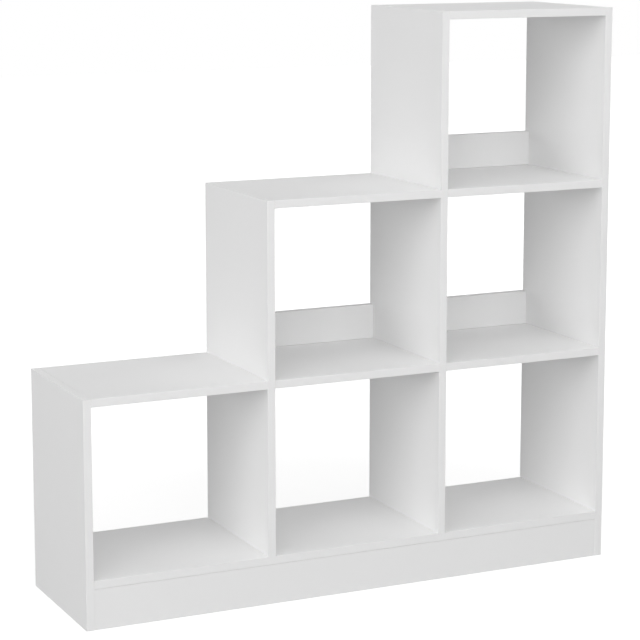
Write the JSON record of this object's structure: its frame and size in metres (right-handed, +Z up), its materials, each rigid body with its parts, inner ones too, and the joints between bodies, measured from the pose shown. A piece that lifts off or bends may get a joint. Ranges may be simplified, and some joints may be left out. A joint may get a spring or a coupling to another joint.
{
  "type": "staircase bookshelf",
  "caption": "White stepped cube bookshelf: faced boards between uprights, open cubes climbing to one side, back rails, plinth base and hidden cam fittings.",
  "frame": {"origin": "on the floor, in the middle of the footprint of the whole unit", "axes": "+X towards the high end (to the right seen from the front), -Y to the front, +Z up"},
  "size_m": [1.07, 0.29, 1.075],
  "materials": {
    "white_board": "white melamine-faced chipboard, satin, edges banded in the same white",
    "cast_zinc": "plain die-cast zinc, dull",
    "plated_steel": "bright zinc-plated steel"
  },
  "bodies": {
    "root": {"bottom_panel": "white_board", "front_plinth": "white_board", "left_divider": "white_board", "left_side": "white_board", "left_top_panel": "white_board", "middle_back_rail": "white_board", "middle_shelf": "white_board", "middle_top_panel": "white_board", "rear_plinth": "white_board", "right_divider": "white_board", "right_lower_back_rail": "white_board", "right_lower_shelf": "white_board", "right_side": "white_board", "right_top_panel": "white_board", "right_upper_back_rail": "white_board", "right_upper_shelf": "white_board", "cam_bolt_left_divider_level_2": "plated_steel", "cam_bolt_left_divider_rail_1": "plated_steel", "cam_bolt_left_side_bottom_back": "plated_steel", "cam_bolt_left_side_bottom_front": "plated_steel", "cam_bolt_left_side_level_1": "plated_steel", "cam_bolt_right_divider_level_3": "plated_steel", "cam_bolt_right_divider_rail_2": "plated_steel", "cam_bolt_right_side_bottom_back": "plated_steel", "cam_bolt_right_side_bottom_front": "plated_steel", "cam_bolt_right_side_level_1": "plated_steel", "cam_bolt_right_side_level_2": "plated_steel", "cam_bolt_right_side_level_3": "plated_steel", "cam_bolt_right_side_rail_1": "plated_steel", "cam_bolt_right_side_rail_2": "plated_steel", "cam_lock_bottom_panel_left_back": "cast_zinc", "cam_lock_bottom_panel_left_front": "cast_zinc", "cam_lock_bottom_panel_right_back": "cast_zinc", "cam_lock_bottom_panel_right_front": "cast_zinc", "cam_lock_left_top_panel_left": "cast_zinc", "cam_lock_left_top_panel_right": "cast_zinc", "cam_lock_middle_back_rail_left": "cast_zinc", "cam_lock_middle_back_rail_right": "cast_zinc", "cam_lock_middle_shelf_left": "cast_zinc", "cam_lock_middle_shelf_right": "cast_zinc", "cam_lock_middle_top_panel_left": "cast_zinc", "cam_lock_middle_top_panel_right": "cast_zinc", "cam_lock_right_lower_back_rail_left": "cast_zinc", "cam_lock_right_lower_back_rail_right": "cast_zinc", "cam_lock_right_lower_shelf_left": "cast_zinc", "cam_lock_right_lower_shelf_right": "cast_zinc", "cam_lock_right_top_panel_left": "cast_zinc", "cam_lock_right_top_panel_right": "cast_zinc", "cam_lock_right_upper_back_rail_left": "cast_zinc", "cam_lock_right_upper_back_rail_right": "cast_zinc", "cam_lock_right_upper_shelf_left": "cast_zinc", "cam_lock_right_upper_shelf_right": "cast_zinc", "carcass_screw_left_divider_back": "plated_steel", "carcass_screw_left_divider_front": "plated_steel", "carcass_screw_right_divider_back": "plated_steel", "carcass_screw_right_divider_front": "plated_steel", "double_cam_bolt_left_divider_level_1": "plated_steel", "double_cam_bolt_right_divider_level_1": "plated_steel", "double_cam_bolt_right_divider_level_2": "plated_steel", "double_cam_bolt_right_divider_rail_1": "plated_steel"}
  },
  "joints": []
}
